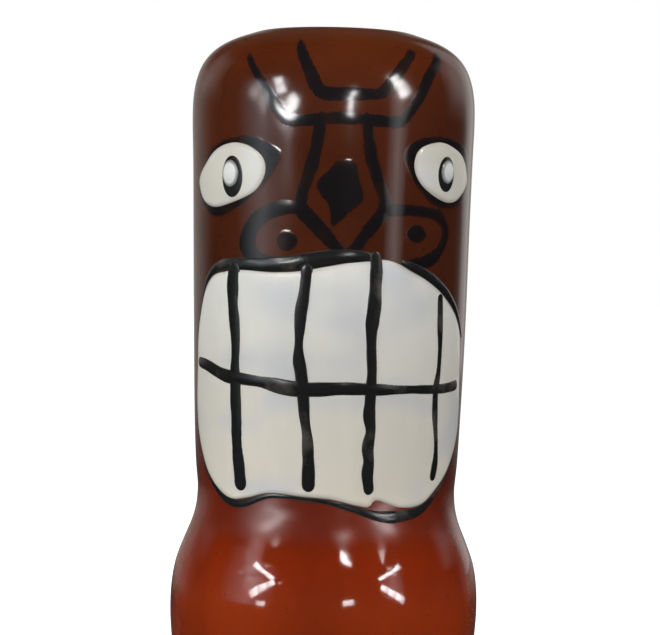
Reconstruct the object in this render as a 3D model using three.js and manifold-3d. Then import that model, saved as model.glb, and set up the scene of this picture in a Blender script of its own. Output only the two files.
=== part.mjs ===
// A hand-painted ceramic tiki mug, in millimetres. +Z is up, the origin is the middle of the foot,
// and the face looks along -Y.
//
// The mug is one slip-cast, glazed clay body: a rounded head that curls in to a small drinking mouth,
// a waist below the face, and a round belly on a foot ring. The face is laid on it in separate deposits
// of white enamel and trailed black glaze. Each deposit is its own mesh, and left and right are as seen
// when facing the mug.
import * as THREE from "three";
import Module from "manifold-3d";
import { mergeVertices } from "three/addons/utils/BufferGeometryUtils.js";

// Clay body
const HEIGHT = 180;
const HEAD_RADIUS = 36;
const SHOULDER_DROP = 21; // from the top of the lip down to where the head is widest
const MOUTH_RADIUS = 15.7;
const WALL = 4.6;
const LIP_CREST_RADIUS = MOUTH_RADIUS + WALL / 2;
const WAIST_RADIUS = 32.8;
const WAIST_HEIGHT = 65;
const BELLY_RADIUS = 39.1;
const BELLY_HEIGHT = 35.5;
const FOOT_RADIUS = 32;
const HEEL_ROUND = 1.6;
const FOOT_RING_WIDTH = 4;
const FOOT_RECESS = 2;
const RECESS_SLOPE = 1.2;
const FLOOR = 5.5;
const FLOOR_ROUND = 7;
const ROUND_SEGMENTS = 44;

// Deposits: heights above the clay, with the clearance that keeps neighbouring solids apart
const GAP = 0.15;
const SIDE_GAP = 0.3;
const GLAZE_THICKNESS = 0.35;
const ENAMEL_THICKNESS = 0.45;
const BEAD_THICKNESS = 1;

const BROWN = { color: 0x6a2412, roughness: 0.12, metalness: 0 };
const WHITE = { color: 0xd3cfc4, roughness: 0.2, metalness: 0 };
const BLACK = { color: 0x121113, roughness: 0.18, metalness: 0 };

const wasm = await Module();
wasm.setup();

// ---------------------------------------------------------------- solids and geometries

function solidFrom(geometry) {
  const bare = new THREE.BufferGeometry();
  bare.setAttribute("position", geometry.getAttribute("position"));
  if (geometry.index) bare.setIndex(geometry.index);
  const merged = mergeVertices(bare, 1e-4);
  return new wasm.Manifold(
    new wasm.Mesh({
      numProp: 3,
      vertProperties: merged.attributes.position.array,
      triVerts: new Uint32Array(merged.index.array),
    }),
  );
}

function geometryFrom(solid) {
  const mesh = solid.getMesh();
  const geometry = new THREE.BufferGeometry();
  const positions = new Float32Array(mesh.numVert * 3);
  for (let i = 0; i < mesh.numVert; i++) {
    const start = i * mesh.numProp;
    positions.set(mesh.vertProperties.subarray(start, start + 3), i * 3);
  }
  geometry.setAttribute("position", new THREE.BufferAttribute(positions, 3));
  geometry.setIndex(new THREE.BufferAttribute(mesh.triVerts, 1));
  geometry.computeVertexNormals();
  return geometry;
}

// Turns a closed (radius, height) profile about Z. Its first column of vertices faces -Y.
function revolve(profile) {
  return new THREE.LatheGeometry(profile, ROUND_SEGMENTS).rotateX(Math.PI / 2);
}

// ---------------------------------------------------------------- the mug's profile

const point = (radius, height) => new THREE.Vector2(radius, height);

function ellipseArc(centre, across, up, fromDegrees, toDegrees, steps) {
  return Array.from({ length: steps + 1 }, (_, i) => {
    const t = THREE.MathUtils.degToRad(fromDegrees + ((toDegrees - fromDegrees) * i) / steps);
    return point(centre.x + across * Math.cos(t), centre.y + up * Math.sin(t));
  });
}

// The outside from the heel of the foot up to the crest of the lip. Its knots are offsets from the
// widths and heights that drive the shape.
function outerProfile() {
  const heelCentre = point(FOOT_RADIUS - HEEL_ROUND, HEEL_ROUND);
  const heel = ellipseArc(heelCentre, HEEL_ROUND, HEEL_ROUND, -90, -20, 2);
  const waist = point(WAIST_RADIUS, WAIST_HEIGHT);
  const belly = new THREE.SplineCurve([
    heel[heel.length - 1],
    point(FOOT_RADIUS + 3.3, 9),
    point(BELLY_RADIUS - 1, BELLY_HEIGHT - 13),
    point(BELLY_RADIUS, BELLY_HEIGHT),
    point(BELLY_RADIUS - 1.2, BELLY_HEIGHT + 10.5),
    point(WAIST_RADIUS + 1.3, WAIST_HEIGHT - 9),
    point(WAIST_RADIUS + 0.15, WAIST_HEIGHT - 4),
    waist,
  ]).getPoints(14);
  const head = new THREE.SplineCurve([
    waist,
    point(WAIST_RADIUS + 0.9, WAIST_HEIGHT + 11.5),
    point(HEAD_RADIUS - 1.3, HEIGHT - 75),
    point(HEAD_RADIUS - 0.6, HEIGHT - 43),
    point(HEAD_RADIUS, HEIGHT - SHOULDER_DROP),
  ]).getPoints(6);
  const shoulder = new THREE.CubicBezierCurve(
    point(HEAD_RADIUS, HEIGHT - SHOULDER_DROP),
    point(HEAD_RADIUS, HEIGHT - 8.3),
    point(HEAD_RADIUS - 3.8, HEIGHT - 3),
    point(LIP_CREST_RADIUS, HEIGHT),
  ).getPoints(8);
  return [...heel, ...belly.slice(1), ...head.slice(1, -1), ...shoulder];
}

// The inside from the lip's crest, round its rolled edge and down to the middle of the floor.
function innerProfile() {
  const lipRound = WALL / 2;
  const lip = ellipseArc(point(LIP_CREST_RADIUS, HEIGHT - lipRound), lipRound, lipRound, 90, 270, 4);
  const shoulder = new THREE.CubicBezierCurve(
    point(LIP_CREST_RADIUS, HEIGHT - WALL),
    point(HEAD_RADIUS - 3.5 - WALL, HEIGHT - 3 - WALL),
    point(HEAD_RADIUS - WALL, HEIGHT - 11),
    point(HEAD_RADIUS - WALL, HEIGHT - SHOULDER_DROP),
  ).getPoints(4);
  const side = new THREE.SplineCurve([
    shoulder[shoulder.length - 1],
    point(HEAD_RADIUS - 1.4 - WALL, HEIGHT - 75),
    point(WAIST_RADIUS + 0.8 - WALL, WAIST_HEIGHT + 11.5),
    point(WAIST_RADIUS - WALL, WAIST_HEIGHT),
    point(BELLY_RADIUS - 1.2 - WALL, BELLY_HEIGHT + 9),
    point(BELLY_RADIUS - WALL, BELLY_HEIGHT),
    point(BELLY_RADIUS - 1.6 - WALL, BELLY_HEIGHT - 14),
  ]).getPoints(8);
  const floorHeight = FOOT_RECESS + FLOOR;
  const floorReach = BELLY_RADIUS - 3.2 - WALL;
  const cornerCentre = point(floorReach - FLOOR_ROUND, floorHeight + FLOOR_ROUND);
  const corner = ellipseArc(cornerCentre, FLOOR_ROUND, FLOOR_ROUND, 0, -90, 3);
  return [...lip.slice(1), ...shoulder.slice(1), ...side.slice(1), ...corner, point(0, floorHeight)];
}

const outside = outerProfile();

function mugBody() {
  const ringInside = FOOT_RADIUS - HEEL_ROUND - FOOT_RING_WIDTH;
  const underside = [
    point(0, FOOT_RECESS),
    point(ringInside - RECESS_SLOPE, FOOT_RECESS),
    point(ringInside, 0),
  ];
  return revolve([...underside, ...outside, ...innerProfile()]);
}

// ---------------------------------------------------------------- deposits on the outside

// The mug's outside moved out by a distance along its normals.
function offsetOutside(distance) {
  return outside.map((p, i) => {
    const before = outside[Math.max(i - 1, 0)];
    const after = outside[Math.min(i + 1, outside.length - 1)];
    const along = after.clone().sub(before).normalize();
    return point(p.x + along.y * distance, p.y - along.x * distance);
  });
}

// A skin that follows the whole outside, from one height above the clay to another.
function skin(from, to) {
  const low = offsetOutside(from);
  const high = offsetOutside(to);
  return solidFrom(revolve([...high, ...low.reverse(), high[0]]));
}

// The clay's radius behind most of the face. Outlines are drawn unrolled at this radius, in millimetres:
// x goes round the mug from the middle of the face, and y is the height.
const UNROLL_RADIUS = HEAD_RADIUS - 0.8;

// Distances from the mug's axis to the rings of a ray prism, from inside the clay to far outside it.
const PRISM_RINGS = Array.from({ length: 18 }, (_, i) => 20 * 1.2 ** i);

// A solid that widens from the mug's axis outwards, and has an outline as its section at every distance.
function rayPrism(outline) {
  const count = outline.length;
  const positions = PRISM_RINGS.flatMap((distance) =>
    outline.flatMap(({ x, y }) => {
      const angle = x / UNROLL_RADIUS;
      return [distance * Math.sin(angle), -distance * Math.cos(angle), y];
    }),
  );
  const faces = [];
  const last = (PRISM_RINGS.length - 1) * count;
  for (const [a, b, c] of THREE.ShapeUtils.triangulateShape(outline, [])) {
    faces.push(a, c, b);
    faces.push(a + last, b + last, c + last);
  }
  for (let ring = 0; ring < last; ring += count) {
    for (let i = 0; i < count; i++) {
      const near = ring + i;
      const next = ring + ((i + 1) % count);
      faces.push(near, next, next + count);
      faces.push(near, next + count, near + count);
    }
  }
  const geometry = new THREE.BufferGeometry();
  geometry.setAttribute("position", new THREE.Float32BufferAttribute(positions, 3));
  geometry.setIndex(faces);
  return solidFrom(geometry);
}

// A smooth curve through places [degrees, height, width], unrolled. The width rides along as z.
function unrolledCurve(places, closed) {
  const spots = places.map(([degrees, height, width = 0]) => {
    const around = THREE.MathUtils.degToRad(degrees) * UNROLL_RADIUS;
    return new THREE.Vector3(around, height, width);
  });
  return new THREE.CatmullRomCurve3(spots, closed);
}

const OUTLINE_STEP = 4.5; // the length of an outline's straight pieces

// The outline of a brush stroke with round ends, made wider by grow on each side.
function strokeOutline(places, grow = 0) {
  const curve = unrolledCurve(places, false);
  const steps = Math.round(curve.getLength() / OUTLINE_STEP);
  const line = curve.getSpacedPoints(steps);
  const edge = (i, turn) => {
    const before = line[Math.max(i - 1, 0)];
    const after = line[Math.min(i + 1, steps)];
    const heading = Math.atan2(after.y - before.y, after.x - before.x) + turn;
    const reach = line[i].z / 2 + grow;
    return point(line[i].x + reach * Math.cos(heading), line[i].y + reach * Math.sin(heading));
  };
  const quarter = Math.PI / 2;
  const endTurns = [-quarter / 2, 0, quarter / 2];
  return [
    ...line.map((_, i) => edge(i, -quarter)),
    ...endTurns.map((turn) => edge(steps, turn)),
    ...line.map((_, i) => edge(steps - i, quarter)),
    ...endTurns.map((turn) => edge(0, turn + Math.PI)),
  ];
}

// A smooth closed outline through places [degrees, height], anticlockwise.
function patchOutline(places) {
  const curve = unrolledCurve(places, true);
  const points = curve.getSpacedPoints(Math.round(curve.getLength() / OUTLINE_STEP)).slice(0, -1);
  return points.map(({ x, y }) => point(x, y));
}

function ovalOutline({ at: [degrees, height], halfWidth, halfHeight }, sides = 14) {
  const around = THREE.MathUtils.degToRad(degrees) * UNROLL_RADIUS;
  return ellipseArc(point(around, height), halfWidth, halfHeight, 0, 360, sides).slice(1);
}

// An anticlockwise outline moved outwards by a distance.
function grown(outline, distance) {
  return outline.map((spot, i) => {
    const before = outline.at(i - 1);
    const after = outline[(i + 1) % outline.length];
    const along = after.clone().sub(before).setLength(distance);
    return point(spot.x + along.y, spot.y - along.x);
  });
}

const glazeSkin = skin(GAP, GAP + GLAZE_THICKNESS);
const enamelSkin = skin(GAP, GAP + ENAMEL_THICKNESS);
const beadSkin = skin(GAP, GAP + BEAD_THICKNESS);
const overEnamel = GAP + ENAMEL_THICKNESS + GAP;
const topSkin = skin(overEnamel, overEnamel + GLAZE_THICKNESS);

// ---------------------------------------------------------------- the face's outlines and strokes

// Patches are places [degrees, height] taken anticlockwise as seen from outside.
const TEETH = [
  [-78.5, 84], [-72, 73], [-59, 65], [-46, 63], [-30, 65], [-14.5, 64.5], [9.5, 62.7], [29, 62], [46, 64],
  [61, 71], [71, 84], [67.5, 100], [60.5, 109], [45.5, 115.5], [29.5, 120], [14, 122.6], [-3.5, 121],
  [-28, 119.2], [-51.5, 119], [-65, 116], [-74, 106.5], [-77.5, 95],
];
const NOSE_DIAMOND = [
  [-10.5, 140], [-4, 130.5], [2, 133.6], [8, 137.3], [4, 146], [-3.5, 145.7],
];
const LEFT_EYE = {
  outline: [
    [-76, 140.5], [-71, 136], [-60, 132.5], [-44.5, 135], [-32.5, 140.5], [-25.5, 148], [-34, 151.4],
    [-47.5, 151.7], [-59, 150], [-68.5, 146],
  ],
  white: [
    [-74, 141.5], [-65, 135.6], [-52, 135.5], [-38, 138.2], [-32, 144.5], [-36, 148.8], [-45, 150.4],
    [-56, 149.6], [-66.5, 146],
  ],
  iris: { at: [-48, 142.3], halfWidth: 3.9, halfHeight: 5.3 },
  pupil: { at: [-49, 142.2], halfWidth: 2.5, halfHeight: 2.7 },
};
const RIGHT_EYE = {
  outline: [
    [25, 148], [28, 143.5], [36, 138], [48, 135.5], [60, 136.8], [70, 142], [68.5, 147.3], [56, 152.2],
    [41, 152.9], [29, 151.4],
  ],
  white: [
    [29.5, 146], [32, 142], [41.5, 138.2], [55, 137.5], [65.5, 141.5], [64.5, 146.6], [54, 150.4],
    [41.5, 151.7], [32.5, 150],
  ],
  iris: { at: [47, 144], halfWidth: 3.8, halfHeight: 4.6 },
  pupil: { at: [47, 144.6], halfWidth: 2.6, halfHeight: 2.8 },
};
const LEFT_NOSTRIL_DOT = { at: [-22.5, 126.6], halfWidth: 2.7, halfHeight: 2.1 };
const RIGHT_NOSTRIL_DOT = { at: [32, 129], halfWidth: 2.9, halfHeight: 2 };

// Strokes are places [degrees, height, width].
const BITE_LINE = [
  [-73, 96, 2.4], [-50, 93, 2.5], [-30.5, 92, 2.6], [-14, 90.5, 2.9], [9.5, 91, 2.8], [36.5, 91, 2.6],
  [63, 91.5, 2.2],
];
const UPPER_TOOTH_LINES = [
  [[-46.5, 120, 3.4], [-47.5, 111.5, 3.6], [-45.5, 100.5, 3.7], [-46, 94.6, 3.7]],
  [[-13.5, 120.5, 3], [-15, 113, 2.9], [-16.5, 104.5, 3], [-16.5, 99, 3.1], [-15.5, 92.4, 3]],
  [[13.5, 123, 2.6], [14, 116.5, 3], [12.5, 107.5, 3.8], [13, 99.5, 2.7], [13.5, 92.7, 2.8]],
  [[46.5, 113, 2], [47.5, 102, 2.1], [46.5, 92.4, 2.1]],
];
const LOWER_TOOTH_LINES = [
  [[-46, 91, 3.7], [-45.5, 83.5, 3.7], [-44, 67.5, 3.7]],
  [[-15.5, 89, 3], [-12.5, 78.5, 3.1], [-12, 67.5, 3.1]],
  [[13, 89.3, 2.8], [13.5, 83, 2.7], [12.5, 75, 2.8], [14, 66.5, 2.9]],
  [[46, 89.6, 2.1], [46.5, 84, 2], [48, 77, 2.1], [47.5, 68.5, 2.4]],
];
const LIP_LINES = {
  upper_lip_line: [
    [-73, 108.5, 0.9], [-64, 117.8, 1.8], [-49, 120.4, 2.1], [-31.5, 120, 2.4], [-14, 121.3, 3],
    [6, 123.9, 2],
  ],
  upper_lip_corner: [[27, 122, 1.8], [44.5, 118, 2.4], [59, 112.2, 2], [70, 104.5, 1]],
  lower_lip_line: [
    [-76.5, 76.5, 0.8], [-66.5, 68, 1.3], [-55, 63.3, 1.9], [-44, 62, 2], [-30, 64.3, 1.2],
    [-14, 64, 1.1], [8.5, 62, 1.8], [25, 60, 2.9], [39.5, 61, 2.3], [57, 67.5, 1.2], [67, 75, 0.9],
  ],
};
const INNER_BROW_LINE = [
  [-20, 174, 2.6], [-11.5, 164, 3], [-7, 162.4, 3.1], [12, 162.7, 3], [18, 165, 2.9], [30.5, 173, 2.5],
];
const OUTER_BROW_LINE = [
  [-42.5, 171, 1.8], [-26, 158, 2.7], [-20, 156, 2.8], [-1.5, 156.5, 2.9], [21, 156, 2.8],
  [28, 159.5, 2.8], [37.5, 168, 2.9], [47.5, 173, 2.6],
];
const LEFT_NOSE_LINE = [
  [-9.5, 156, 2.9], [-12.5, 145.5, 3.1], [-16, 139, 3.1], [-17, 135, 3.6], [-12, 131.5, 3.8],
  [-1, 124.3, 3.1],
];
const RIGHT_NOSE_LINE = [
  [8.5, 156, 2.6], [11.5, 145.5, 3.1], [16.5, 137, 3.3], [16, 134, 3.3], [9, 128.5, 3.1], [3, 124, 2.6],
];
const LEFT_NOSTRIL_RING = [
  [-17, 135, 3.2], [-31.5, 133.2, 4], [-39.5, 129.5, 4.7], [-38.5, 123.5, 4.4], [-31, 121.3, 3.4],
  [-19.5, 121, 3],
];
const RIGHT_NOSTRIL_RING = [
  [17.5, 134.7, 2.8], [36, 134.5, 2.6], [48, 131.5, 2.8], [48, 127.5, 2.7], [40, 123.3, 2.7],
  [30.5, 122, 2],
];

// ---------------------------------------------------------------- the meshes

const mug = new THREE.Group();

function addMesh(name, geometry, finish) {
  const mesh = new THREE.Mesh(geometry, new THREE.MeshStandardMaterial(finish));
  mesh.name = name;
  mug.add(mesh);
}

// Lays an outline on the mug as a deposit of a skin's thickness, stopped short of the outlines it meets.
function deposit(name, outline, onto, finish, stops = []) {
  const whole = onto.intersect(rayPrism(outline));
  const trimmed = stops.reduce((left, stop) => left.subtract(rayPrism(stop)), whole);
  addMesh(name, geometryFrom(trimmed), finish);
}

const strokeStop = (places) => strokeOutline(places, SIDE_GAP);
const lipStops = Object.values(LIP_LINES).map(strokeStop);

// The lip lines overlap the edge of the enamel, so the enamel stops at them.
function addTeeth() {
  const biteStop = strokeStop(BITE_LINE);
  deposit("teeth_enamel", patchOutline(TEETH), enamelSkin, WHITE, lipStops);
  deposit("bite_line", strokeOutline(BITE_LINE), topSkin, BLACK);
  const toothLine = (name, places) =>
    deposit(name, strokeOutline(places), topSkin, BLACK, [biteStop]);
  UPPER_TOOTH_LINES.forEach((places, i) => toothLine(`upper_tooth_line_${i + 1}`, places));
  LOWER_TOOTH_LINES.forEach((places, i) => toothLine(`lower_tooth_line_${i + 1}`, places));
}

function addLips() {
  for (const [name, places] of Object.entries(LIP_LINES)) {
    deposit(name, strokeOutline(places), glazeSkin, BLACK);
  }
}

function addBrow() {
  deposit("inner_brow_line", strokeOutline(INNER_BROW_LINE), glazeSkin, BLACK);
  deposit("outer_brow_line", strokeOutline(OUTER_BROW_LINE), glazeSkin, BLACK);
}

function addNose() {
  const around = [strokeStop(OUTER_BROW_LINE), grown(patchOutline(TEETH), SIDE_GAP), ...lipStops];
  const noseLine = (name, places, ...stops) =>
    deposit(name, strokeOutline(places), glazeSkin, BLACK, [...around, ...stops]);
  noseLine("left_nose_line", LEFT_NOSE_LINE);
  noseLine("right_nose_line", RIGHT_NOSE_LINE, strokeStop(LEFT_NOSE_LINE));
  noseLine("left_nostril_ring", LEFT_NOSTRIL_RING, strokeStop(LEFT_NOSE_LINE));
  noseLine("right_nostril_ring", RIGHT_NOSTRIL_RING, strokeStop(RIGHT_NOSE_LINE));
  deposit("nose_diamond", patchOutline(NOSE_DIAMOND), glazeSkin, BLACK);
  deposit("left_nostril_dot", ovalOutline(LEFT_NOSTRIL_DOT, 10), glazeSkin, BLACK);
  deposit("right_nostril_dot", ovalOutline(RIGHT_NOSTRIL_DOT, 10), glazeSkin, BLACK);
}

// An eye is four deposits, one inside the next: black outline, white, black iris ring and raised pupil.
function addEye(side, eye) {
  const white = patchOutline(eye.white);
  const iris = ovalOutline(eye.iris);
  const pupil = ovalOutline(eye.pupil, 10);
  deposit(`${side}_eye_outline`, patchOutline(eye.outline), glazeSkin, BLACK, [grown(white, SIDE_GAP)]);
  deposit(`${side}_eye_white`, white, enamelSkin, WHITE, [grown(iris, SIDE_GAP)]);
  deposit(`${side}_iris_ring`, iris, enamelSkin, BLACK, [grown(pupil, SIDE_GAP)]);
  deposit(`${side}_pupil`, pupil, beadSkin, WHITE);
}

addMesh("mug_body", mugBody(), BROWN);
addTeeth();
addLips();
addBrow();
addNose();
addEye("left", LEFT_EYE);
addEye("right", RIGHT_EYE);

export default mug;
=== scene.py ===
"""Looks of a hand-painted ceramic tiki mug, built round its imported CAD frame.

The clay body is turned again from the frame's own section, finely. The face is then painted on it in
strokes and patches that follow the clay. Places on the face are (degrees, height in mm): degrees go
round the mug from the middle of the face, and grow to the right of someone facing it.
"""
import math

import bpy
import numpy as np
from mathutils import Matrix, Vector


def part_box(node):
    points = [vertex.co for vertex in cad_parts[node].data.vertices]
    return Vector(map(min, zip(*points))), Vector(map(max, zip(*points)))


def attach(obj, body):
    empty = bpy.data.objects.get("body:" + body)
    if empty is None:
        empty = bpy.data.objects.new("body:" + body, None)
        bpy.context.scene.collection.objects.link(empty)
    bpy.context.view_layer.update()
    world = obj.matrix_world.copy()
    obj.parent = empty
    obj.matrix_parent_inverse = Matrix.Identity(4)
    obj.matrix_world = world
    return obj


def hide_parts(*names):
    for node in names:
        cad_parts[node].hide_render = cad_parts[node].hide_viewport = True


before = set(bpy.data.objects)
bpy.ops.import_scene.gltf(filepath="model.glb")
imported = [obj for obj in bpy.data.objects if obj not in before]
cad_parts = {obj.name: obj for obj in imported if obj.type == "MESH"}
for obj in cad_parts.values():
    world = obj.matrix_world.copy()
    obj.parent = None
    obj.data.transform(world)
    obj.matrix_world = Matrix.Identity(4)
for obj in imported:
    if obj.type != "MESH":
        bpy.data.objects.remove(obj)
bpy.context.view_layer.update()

MM = 0.001
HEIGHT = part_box("mug_body")[1][2] / MM

# ---------------------------------------------------------------- curves


def smooth_curve(places, samples, closed=False):
    """Evenly timed samples of a smooth curve through the places. A width may ride along as a third number."""
    knots = np.array(places, float)
    count = len(knots)
    if closed:
        knots = np.vstack([knots[-2:], knots, knots[:3]])
    chords = np.linalg.norm(np.diff(knots[:, :2], axis=0), axis=1)
    at = np.concatenate([[0], np.cumsum(np.sqrt(chords))])
    slopes = np.gradient(knots, at, axis=0)
    first, last = (at[2], at[2 + count]) if closed else (at[0], at[-1])
    times = np.linspace(first, last, samples)
    span = np.clip(np.searchsorted(at, times, side="right") - 1, 0, len(at) - 2)
    width = (at[span + 1] - at[span])[:, None]
    s = (times[:, None] - at[span, None]) / width
    start, end = knots[span], knots[span + 1]
    leaving, arriving = slopes[span] * width, slopes[span + 1] * width
    return (
        (1 + 2 * s) * (1 - s) ** 2 * start
        + s * (1 - s) ** 2 * leaving
        + s ** 2 * (3 - 2 * s) * end
        + s ** 2 * (s - 1) * arriving
    )


def resampled(points, effort):
    """The points of a fine line taken again at equal steps of a growing effort."""
    steps = max(int(round(effort[-1])), 4)
    wanted = np.linspace(0, effort[-1], steps + 1)
    return np.stack([np.interp(wanted, effort, column) for column in points.T], axis=1)


def spaced(points, spacing):
    """The points of a fine line taken again at an even spacing."""
    chords = np.linalg.norm(np.diff(points[:, :2], axis=0), axis=1)
    return resampled(points, np.concatenate([[0], np.cumsum(chords)]) / spacing)


# ---------------------------------------------------------------- the clay's section, from the frame


ON_PLANE = 0.002       # how near the section's plane its corners lie, in mm
ON_AXIS = 0.01         # how near the axis its first corner lies, in mm


def traced_section(node):
    """The (radius, height) corners of a turned CAD node's section, from its underside to its floor."""
    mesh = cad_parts[node].data
    corners = {}
    for vertex in mesh.vertices:
        x, y, z = (round(value / MM, 3) for value in vertex.co)
        if abs(x) < ON_PLANE and y < ON_PLANE:
            corners[vertex.index] = (abs(y), z)
    linked = {}
    for edge in mesh.edges:
        a, b = (corners.get(index) for index in edge.vertices)
        if a and b and a != b:
            linked.setdefault(a, set()).add(b)
            linked.setdefault(b, set()).add(a)
    place = min((corner for corner in linked if corner[0] < ON_AXIS), key=lambda corner: corner[1])
    section = [place]
    while True:
        onward = linked[place] - set(section)
        if not onward:
            return np.array(section)
        place = onward.pop()
        section.append(place)


UNDERSIDE_CORNERS = 3      # the section's corners before the outer edge of the foot ring
SECTION_SAMPLES = 40       # on the fine side, for each corner of the section
FACET_STEP = 1.3           # about the longest step up the side, in mm
FACET_TURN = math.radians(4)   # about the sharpest turn between two steps

section = traced_section("mug_body")
underside = section[: UNDERSIDE_CORNERS + 1]
turned = section[UNDERSIDE_CORNERS:-1]


def fine_side(corners):
    """A smooth line through the corners, with short steps where it bends."""
    fine = smooth_curve(corners, SECTION_SAMPLES * len(corners))
    along = np.diff(fine, axis=0)
    lengths = np.linalg.norm(along, axis=1)
    headings = np.unwrap(np.arctan2(along[:, 1], along[:, 0]))
    turns = np.abs(np.diff(headings, prepend=headings[0]))
    effort = np.cumsum(lengths / FACET_STEP + turns / FACET_TURN)
    return resampled(fine, np.concatenate([[0], effort]))


side = fine_side(turned)
side_crest = int(np.argmax(side[:, 1]))
outer_side = side[: side_crest + 1]


def clay_radius(height):
    return np.interp(height, outer_side[:, 1], outer_side[:, 0])


WOBBLE = 0.05          # the size of the hand's swells, in mm
WOBBLE_REACH = 2.7     # what the swells add up to at most, so that none stands outside the true round
TRUE_END = 12          # how near either end of the mug the swells fade out, in mm


def hand_wobble(angle, height):
    """How far the hand-finished outside lies inside the true round, in mm."""
    swell = (
        np.cos(2 * angle + 0.021 * height + 0.6)
        + 0.7 * np.cos(3 * angle - 0.034 * height + 2.1)
        + 0.5 * np.cos(5 * angle + 0.09 * height + 4.0)
        + 0.5 * np.cos(0.13 * height + angle + 1.0)
    )
    ends = np.clip(np.minimum(height / TRUE_END, (HEIGHT - height) / TRUE_END), 0, 1)
    return -WOBBLE * (WOBBLE_REACH + swell) * ends


def on_clay(angle, height, lift):
    """Points in metres that stand a lift in mm off the outside, at angles in radians and heights in mm."""
    angle, height, lift = np.broadcast_arrays(np.asarray(angle, float), height, lift)
    slope = clay_radius(height + 0.5) - clay_radius(height - 0.5)
    steep = np.sqrt(1 + slope ** 2)
    radius = clay_radius(height) + hand_wobble(angle, height) + lift / steep
    up = height - lift * slope / steep
    return np.stack([radius * np.sin(angle), -radius * np.cos(angle), up], axis=-1) * MM


# ---------------------------------------------------------------- meshes


def add_piece(name, points, faces, materials, replaced):
    """A smooth-shaded object that stands for CAD nodes, which it hides, and takes the materials it is given.
    """
    mesh = bpy.data.meshes.new(name)
    mesh.from_pydata([tuple(point) for point in points], [], faces)
    for material in materials:
        mesh.materials.append(material)
    mesh.shade_smooth()
    piece = bpy.data.objects.new(name, mesh)
    bpy.context.scene.collection.objects.link(piece)
    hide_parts(*replaced)
    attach(piece, "root")
    return piece


def band(lower, upper, closed=True):
    """Quads between two rows of vertex numbers of the same length."""
    count = len(lower)
    last = count if closed else count - 1
    return [
        (lower[i], lower[(i + 1) % count], upper[(i + 1) % count], upper[i]) for i in range(last)
    ]


def fan(row, tip):
    """Triangles from a row of vertex numbers to a tip, turning as the row does."""
    count = len(row)
    return [(row[i], row[(i + 1) % count], tip) for i in range(count)]


def set_paint_depth(piece, depth):
    """Stores how far each vertex lies inside the edge of its paint, in mm."""
    attribute = piece.data.attributes.new("paint_depth", "FLOAT", "POINT")
    attribute.data.foreach_set("value", np.asarray(depth, np.float32))


# ---------------------------------------------------------------- material nodes

GLAZE_IOR = 1.5
FAINT_BUMP = 0.00003       # in metres


def principled_material(name, **settings):
    """A node material. Returns it with its node tree and its Principled shader."""
    material = bpy.data.materials.new(name)
    material.use_nodes = True
    shader = material.node_tree.nodes["Principled BSDF"]
    for socket, value in settings.items():
        shader.inputs[socket.replace("_", " ")].default_value = value
    return material, material.node_tree, shader


def add_node(tree, kind, links=(), **inputs):
    """Adds a node, sets its inputs by name and links outputs into others. Links are (input, output)."""
    node = tree.nodes.new(kind)
    for socket, value in inputs.items():
        node.inputs[socket.replace("_", " ")].default_value = value
    for socket, output in links:
        tree.links.new(output, node.inputs[socket])
    return node


def add_noise(tree, scale, detail=3.0, stretch=(1, 1, 1), seed=0.0):
    """Noise in the object's own space. Scale is in features per metre."""
    place = add_node(tree, "ShaderNodeTexCoord").outputs["Object"]
    shifted = add_node(tree, "ShaderNodeMapping", [("Vector", place)])
    shifted.inputs["Location"].default_value = (seed, 0.7 * seed, 1.3 * seed)
    shifted.inputs["Scale"].default_value = stretch
    noise = add_node(
        tree, "ShaderNodeTexNoise", [("Vector", shifted.outputs[0])], Scale=scale, Detail=detail
    )
    return noise.outputs["Fac"]


def add_ramp(tree, factor, stops, smooth=True):
    """A colour ramp of (place, colour) stops. A colour may be a single grey level."""
    ramp = add_node(tree, "ShaderNodeValToRGB", [("Fac", factor)])
    ramp.color_ramp.interpolation = "EASE" if smooth else "LINEAR"
    elements = ramp.color_ramp.elements
    while len(elements) < len(stops):
        elements.new(0.5)
    for element, (place, colour) in zip(elements, stops):
        element.position = place
        element.color = (*colour, 1) if isinstance(colour, tuple) else (colour, colour, colour, 1)
    return ramp.outputs["Color"]


def add_mix(tree, factor, first, second):
    """A mix of two colours. Each is a colour or an output, and so is the factor."""
    mix = tree.nodes.new("ShaderNodeMix")
    mix.data_type = "RGBA"
    for index, value in ((0, factor), (6, first), (7, second)):
        if isinstance(value, (tuple, float, int)):
            mix.inputs[index].default_value = (*value, 1) if isinstance(value, tuple) else value
        else:
            tree.links.new(value, mix.inputs[index])
    return mix.outputs[2]


def add_product(tree, colour, grey):
    """A colour output scaled by a grey one."""
    product = tree.nodes.new("ShaderNodeVectorMath")
    product.operation = "MULTIPLY"
    tree.links.new(colour, product.inputs[0])
    tree.links.new(grey, product.inputs[1])
    return product.outputs[0]


def add_bump(tree, shader, height, distance, strength=1.0):
    bump = add_node(tree, "ShaderNodeBump", [("Height", height)], Distance=distance, Strength=strength)
    tree.links.new(bump.outputs["Normal"], shader.inputs["Normal"])


def add_orange_peel(tree, shader):
    """The faint waves of a thick, clear glaze."""
    add_bump(tree, shader, add_noise(tree, 160, 2, seed=5), FAINT_BUMP)


def object_height(tree, low, high):
    """0 at the low height in metres and 1 at the high one."""
    place = add_node(tree, "ShaderNodeTexCoord").outputs["Object"]
    up = add_node(tree, "ShaderNodeSeparateXYZ", [("Vector", place)]).outputs["Z"]
    return add_node(
        tree, "ShaderNodeMapRange", [("Value", up)], From_Min=low, From_Max=high
    ).outputs["Result"]


def paint_depth(tree, full):
    """0 at the edge of the paint and 1 from a full depth in mm inwards."""
    attribute = tree.nodes.new("ShaderNodeAttribute")
    attribute.attribute_name = "paint_depth"
    return add_node(
        tree, "ShaderNodeMapRange", [("Value", attribute.outputs["Fac"])], From_Max=full
    ).outputs["Result"]


# ---------------------------------------------------------------- materials


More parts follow.
